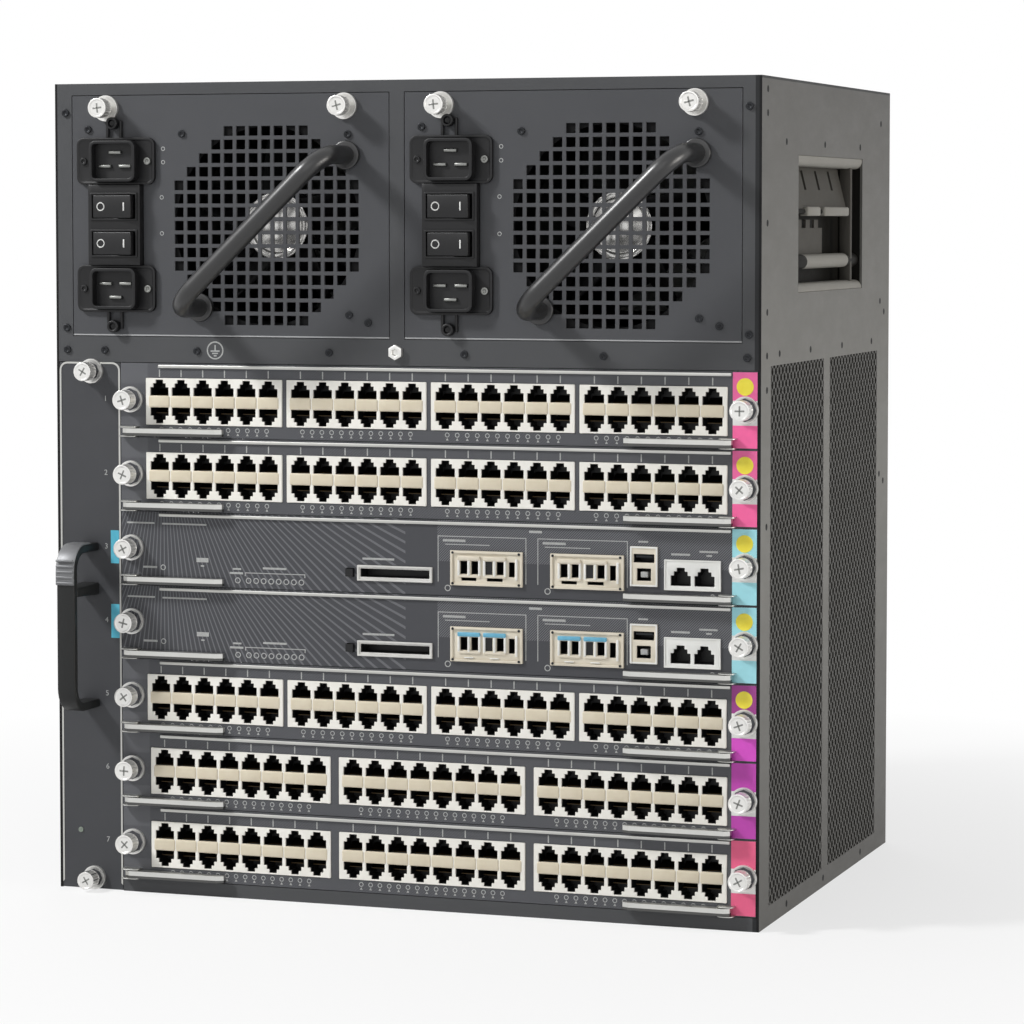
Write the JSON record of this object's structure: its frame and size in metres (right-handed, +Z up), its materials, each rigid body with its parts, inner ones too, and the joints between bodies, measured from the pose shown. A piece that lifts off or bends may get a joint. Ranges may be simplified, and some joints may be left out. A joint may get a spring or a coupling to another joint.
{
  "type": "modular chassis switch",
  "caption": "Rack-height box with a frame of plug-in port cards, twin power supplies with grilles and pull handles, and a tall fan tray.",
  "frame": {"origin": "middle of the base, on the surface it stands on", "axes": "+Z up, +X to the right of someone facing the front, -Y out of the front where cards and power supplies slide"},
  "size_m": [0.44, 0.3622, 0.4874],
  "materials": {
    "side_paint": "satin grey-brown paint",
    "frame_paint": "satin dark grey paint",
    "card_paint": "satin dark grey paint",
    "psu_paint": "satin dark grey paint",
    "tray_paint": "satin dark grey paint",
    "guard_paint": "satin dark grey paint",
    "zinc_steel": "zinc plated",
    "socket_steel": "tin plated",
    "handle_paint": "satin black paint",
    "cream_moulding": "matte",
    "board": "solder mask",
    "lever_steel": "nickel plated",
    "black_plastic": "matte",
    "fan_plastic": "matte",
    "grip_plastic": "matte"
  },
  "bodies": {
    "chassis": {"left_side_panel": "side_paint", "right_side_panel": "side_paint", "top_cover": "side_paint", "base_pan": "side_paint", "rear_panel": "side_paint", "front_frame": "frame_paint", "psu_shelf": "zinc_steel", "card_cage": "zinc_steel", "backplane": "board", "side_handles": "zinc_steel"},
    "card_1": {"slot_1_card": "card_paint", "slot_1_jacks": "cream_moulding"},
    "card_1_left_lever": {"slot_1_left_ejector": "lever_steel"},
    "card_1_right_lever": {"slot_1_right_ejector": "lever_steel"},
    "card_2": {"slot_2_card": "card_paint", "slot_2_jacks": "cream_moulding"},
    "card_2_left_lever": {"slot_2_left_ejector": "lever_steel"},
    "card_2_right_lever": {"slot_2_right_ejector": "lever_steel"},
    "card_3": {"slot_3_card": "card_paint", "slot_3_jacks": "socket_steel"},
    "card_3_left_lever": {"slot_3_left_ejector": "lever_steel"},
    "card_3_right_lever": {"slot_3_right_ejector": "lever_steel"},
    "card_4": {"slot_4_card": "card_paint", "slot_4_jacks": "socket_steel"},
    "card_4_left_lever": {"slot_4_left_ejector": "lever_steel"},
    "card_4_right_lever": {"slot_4_right_ejector": "lever_steel"},
    "card_5": {"slot_5_card": "card_paint", "slot_5_jacks": "cream_moulding"},
    "card_5_left_lever": {"slot_5_left_ejector": "lever_steel"},
    "card_5_right_lever": {"slot_5_right_ejector": "lever_steel"},
    "card_6": {"slot_6_card": "card_paint", "slot_6_jacks": "cream_moulding"},
    "card_6_left_lever": {"slot_6_left_ejector": "lever_steel"},
    "card_6_right_lever": {"slot_6_right_ejector": "lever_steel"},
    "card_7": {"slot_7_card": "card_paint", "slot_7_jacks": "cream_moulding"},
    "card_7_left_lever": {"slot_7_left_ejector": "lever_steel"},
    "card_7_right_lever": {"slot_7_right_ejector": "lever_steel"},
    "card_3_eject_button": {"slot_3_eject_button": "black_plastic"},
    "card_4_eject_button": {"slot_4_eject_button": "black_plastic"},
    "psu_left": {"psu_left_case": "psu_paint", "psu_left_fan_frame": "guard_paint", "psu_left_power_entry": "black_plastic", "psu_left_handle": "handle_paint"},
    "psu_left_upper_rocker": {"psu_left_upper_rocker": "black_plastic"},
    "psu_left_lower_rocker": {"psu_left_lower_rocker": "black_plastic"},
    "psu_left_rotor": {"psu_left_rotor": "fan_plastic"},
    "psu_right": {"psu_right_case": "psu_paint", "psu_right_fan_frame": "guard_paint", "psu_right_power_entry": "black_plastic", "psu_right_handle": "handle_paint"},
    "psu_right_upper_rocker": {"psu_right_upper_rocker": "black_plastic"},
    "psu_right_lower_rocker": {"psu_right_lower_rocker": "black_plastic"},
    "psu_right_rotor": {"psu_right_rotor": "fan_plastic"},
    "fan_tray": {"fan_tray": "tray_paint", "fan_tray_handle": "grip_plastic"},
    "lower_front_rotor": {"lower_front_rotor": "fan_plastic"},
    "lower_rear_rotor": {"lower_rear_rotor": "fan_plastic"},
    "upper_front_rotor": {"upper_front_rotor": "fan_plastic"},
    "upper_rear_rotor": {"upper_rear_rotor": "fan_plastic"}
  },
  "joints": [
    {"name": "card_1_slide", "type": "slide", "parent": "chassis", "child": "card_1", "axis": [0, -1, 0], "range_m": [0, 0.24]},
    {"name": "card_1_left_lever_turn", "type": "hinge", "parent": "card_1", "child": "card_1_left_lever", "pos_m": [-0.1708, -0.1624, 0.2791], "axis": [0, 0, 1], "range_deg": [-90, 0]},
    {"name": "card_1_right_lever_turn", "type": "hinge", "parent": "card_1", "child": "card_1_right_lever", "pos_m": [0.2011, -0.1624, 0.2791], "axis": [0, 0, 1], "range_deg": [0, 90]},
    {"name": "card_2_slide", "type": "slide", "parent": "chassis", "child": "card_2", "axis": [0, -1, 0], "range_m": [0, 0.24]},
    {"name": "card_2_left_lever_turn", "type": "hinge", "parent": "card_2", "child": "card_2_left_lever", "pos_m": [-0.1708, -0.1624, 0.2345], "axis": [0, 0, 1], "range_deg": [-90, 0]},
    {"name": "card_2_right_lever_turn", "type": "hinge", "parent": "card_2", "child": "card_2_right_lever", "pos_m": [0.2011, -0.1624, 0.2345], "axis": [0, 0, 1], "range_deg": [0, 90]},
    {"name": "card_3_slide", "type": "slide", "parent": "chassis", "child": "card_3", "axis": [0, -1, 0], "range_m": [0, 0.24]},
    {"name": "card_3_left_lever_turn", "type": "hinge", "parent": "card_3", "child": "card_3_left_lever", "pos_m": [-0.1708, -0.1624, 0.1899], "axis": [0, 0, 1], "range_deg": [-90, 0]},
    {"name": "card_3_right_lever_turn", "type": "hinge", "parent": "card_3", "child": "card_3_right_lever", "pos_m": [0.2011, -0.1624, 0.1899], "axis": [0, 0, 1], "range_deg": [0, 90]},
    {"name": "card_4_slide", "type": "slide", "parent": "chassis", "child": "card_4", "axis": [0, -1, 0], "range_m": [0, 0.24]},
    {"name": "card_4_left_lever_turn", "type": "hinge", "parent": "card_4", "child": "card_4_left_lever", "pos_m": [-0.1708, -0.1624, 0.1453], "axis": [0, 0, 1], "range_deg": [-90, 0]},
    {"name": "card_4_right_lever_turn", "type": "hinge", "parent": "card_4", "child": "card_4_right_lever", "pos_m": [0.2011, -0.1624, 0.1453], "axis": [0, 0, 1], "range_deg": [0, 90]},
    {"name": "card_5_slide", "type": "slide", "parent": "chassis", "child": "card_5", "axis": [0, -1, 0], "range_m": [0, 0.24]},
    {"name": "card_5_left_lever_turn", "type": "hinge", "parent": "card_5", "child": "card_5_left_lever", "pos_m": [-0.1708, -0.1624, 0.1007], "axis": [0, 0, 1], "range_deg": [-90, 0]},
    {"name": "card_5_right_lever_turn", "type": "hinge", "parent": "card_5", "child": "card_5_right_lever", "pos_m": [0.2011, -0.1624, 0.1007], "axis": [0, 0, 1], "range_deg": [0, 90]},
    {"name": "card_6_slide", "type": "slide", "parent": "chassis", "child": "card_6", "axis": [0, -1, 0], "range_m": [0, 0.24]},
    {"name": "card_6_left_lever_turn", "type": "hinge", "parent": "card_6", "child": "card_6_left_lever", "pos_m": [-0.1708, -0.1624, 0.0561], "axis": [0, 0, 1], "range_deg": [-90, 0]},
    {"name": "card_6_right_lever_turn", "type": "hinge", "parent": "card_6", "child": "card_6_right_lever", "pos_m": [0.2011, -0.1624, 0.0561], "axis": [0, 0, 1], "range_deg": [0, 90]},
    {"name": "card_7_slide", "type": "slide", "parent": "chassis", "child": "card_7", "axis": [0, -1, 0], "range_m": [0, 0.24]},
    {"name": "card_7_left_lever_turn", "type": "hinge", "parent": "card_7", "child": "card_7_left_lever", "pos_m": [-0.1708, -0.1624, 0.0115], "axis": [0, 0, 1], "range_deg": [-90, 0]},
    {"name": "card_7_right_lever_turn", "type": "hinge", "parent": "card_7", "child": "card_7_right_lever", "pos_m": [0.2011, -0.1624, 0.0115], "axis": [0, 0, 1], "range_deg": [0, 90]},
    {"name": "card_3_eject_button_press", "type": "slide", "parent": "card_3", "child": "card_3_eject_button", "axis": [0, 1, 0], "range_m": [0, 0.0018], "stiffness_N_per_m": 300},
    {"name": "card_4_eject_button_press", "type": "slide", "parent": "card_4", "child": "card_4_eject_button", "axis": [0, 1, 0], "range_m": [0, 0.0018], "stiffness_N_per_m": 300},
    {"name": "psu_left_slide", "type": "slide", "parent": "chassis", "child": "psu_left", "axis": [0, -1, 0], "range_m": [0, 0.25]},
    {"name": "psu_left_upper_rocker_tilt", "type": "hinge", "parent": "psu_left", "child": "psu_left_upper_rocker", "pos_m": [-0.1792, -0.1635, 0.4138], "axis": [0, 0, 1], "range_deg": [0, 16]},
    {"name": "psu_left_lower_rocker_tilt", "type": "hinge", "parent": "psu_left", "child": "psu_left_lower_rocker", "pos_m": [-0.1792, -0.1635, 0.3918], "axis": [0, 0, 1], "range_deg": [0, 16]},
    {"name": "psu_left_rotor_spin", "type": "hinge", "parent": "psu_left", "child": "psu_left_rotor", "pos_m": [-0.0828, -0.133, 0.4024], "axis": [0, 1, 0], "continuous": true},
    {"name": "psu_right_slide", "type": "slide", "parent": "chassis", "child": "psu_right", "axis": [0, -1, 0], "range_m": [0, 0.25]},
    {"name": "psu_right_upper_rocker_tilt", "type": "hinge", "parent": "psu_right", "child": "psu_right_upper_rocker", "pos_m": [0.0343, -0.1635, 0.4138], "axis": [0, 0, 1], "range_deg": [0, 16]},
    {"name": "psu_right_lower_rocker_tilt", "type": "hinge", "parent": "psu_right", "child": "psu_right_lower_rocker", "pos_m": [0.0343, -0.1635, 0.3918], "axis": [0, 0, 1], "range_deg": [0, 16]},
    {"name": "psu_right_rotor_spin", "type": "hinge", "parent": "psu_right", "child": "psu_right_rotor", "pos_m": [0.1307, -0.133, 0.4024], "axis": [0, 1, 0], "continuous": true},
    {"name": "fan_tray_slide", "type": "slide", "parent": "chassis", "child": "fan_tray", "axis": [0, -1, 0], "range_m": [0, 0.27]},
    {"name": "lower_front_rotor_spin", "type": "hinge", "parent": "fan_tray", "child": "lower_front_rotor", "pos_m": [-0.1983, -0.0805, 0.085], "axis": [1, 0, 0], "continuous": true},
    {"name": "lower_rear_rotor_spin", "type": "hinge", "parent": "fan_tray", "child": "lower_rear_rotor", "pos_m": [-0.1983, 0.0495, 0.085], "axis": [1, 0, 0], "continuous": true},
    {"name": "upper_front_rotor_spin", "type": "hinge", "parent": "fan_tray", "child": "upper_front_rotor", "pos_m": [-0.1983, -0.0805, 0.235], "axis": [1, 0, 0], "continuous": true},
    {"name": "upper_rear_rotor_spin", "type": "hinge", "parent": "fan_tray", "child": "upper_rear_rotor", "pos_m": [-0.1983, 0.0495, 0.235], "axis": [1, 0, 0], "continuous": true}
  ]
}
